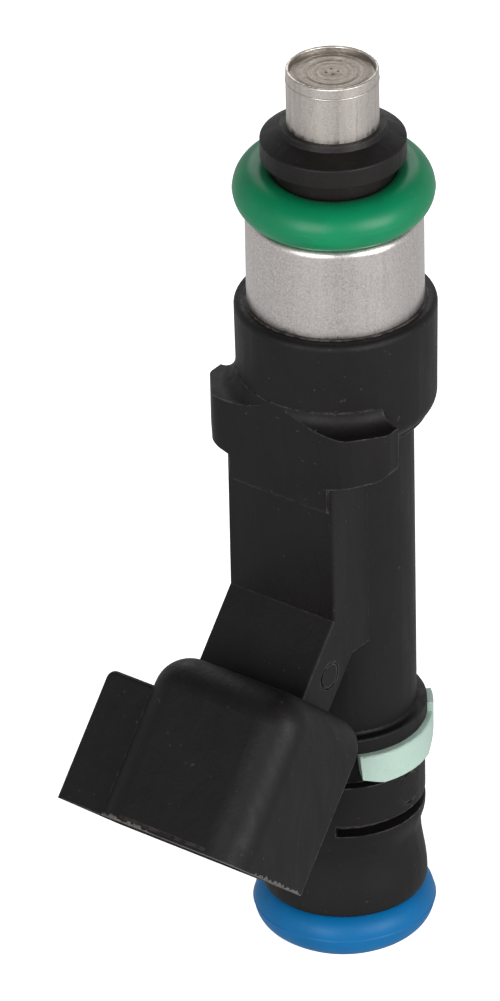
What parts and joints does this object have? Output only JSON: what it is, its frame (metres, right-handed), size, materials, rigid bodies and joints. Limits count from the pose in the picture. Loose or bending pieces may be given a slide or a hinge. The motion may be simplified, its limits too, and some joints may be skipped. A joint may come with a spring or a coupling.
{
  "type": "fuel injector",
  "caption": "Long-body electromagnetic port fuel injector with green and blue O-rings, steel magnet housing and a slanted black plug socket.",
  "frame": {"origin": "centre of the fuel-inlet end face, on the valve's axis", "axes": "+Z along the valve's axis from the inlet to the nozzle; the plug socket leans out towards -Y and down; +X across the socket"},
  "size_m": [0.0164, 0.032, 0.0728],
  "materials": {
    "body_plastic": "satin, glass-filled, moulded black",
    "retainer_plastic": "matte black moulding, slightly rubbed",
    "housing_steel": "satin, fine turning lines round the axis",
    "sleeve_steel": "drawn stainless steel, satin",
    "disc_steel": "turned, concentric lines",
    "core_steel": "ground magnetic stainless steel",
    "hard_steel": "lapped",
    "spring_steel": "drawn wire",
    "bobbin_plastic": "natural glass-filled nylon",
    "copper_wire": "enamelled copper wire",
    "terminal_tin": "tin-plated copper alloy",
    "green_rubber": "smooth, satin sheen",
    "blue_rubber": "smooth, satin sheen",
    "mint_plastic": "moulded, pale mint green",
    "filter_plastic": "natural nylon",
    "filter_cloth": "fine woven nylon mesh",
    "ring_brass": "turned brass"
  },
  "bodies": {
    "body": {"overmold_body": "body_plastic", "magnet_housing": "housing_steel", "flux_washer": "core_steel", "coil_bobbin": "bobbin_plastic", "coil_winding": "copper_wire", "coil_leads": "copper_wire", "terminal_left": "terminal_tin", "terminal_right": "terminal_tin", "valve_sleeve": "sleeve_steel", "orifice_plate": "disc_steel", "valve_seat": "hard_steel", "closing_spring": "spring_steel", "stationary_core": "core_steel", "adjusting_sleeve": "spring_steel", "nozzle_o_ring": "green_rubber", "o_ring_retainer": "retainer_plastic", "inlet_o_ring": "blue_rubber", "filter_press_ring": "ring_brass", "filter_frame": "filter_plastic", "filter_mesh": "filter_cloth", "colour_ring": "mint_plastic"},
    "needle": {"valve_ball": "hard_steel", "needle_tube": "core_steel", "armature": "core_steel"}
  },
  "joints": [
    {"name": "valve_lift", "type": "slide", "parent": "body", "child": "needle", "axis": [0, 0, -1], "range_m": [0, 0.00008], "stiffness_N_per_m": 1500, "springref_m": -0.002, "deforming": ["closing_spring"]}
  ]
}
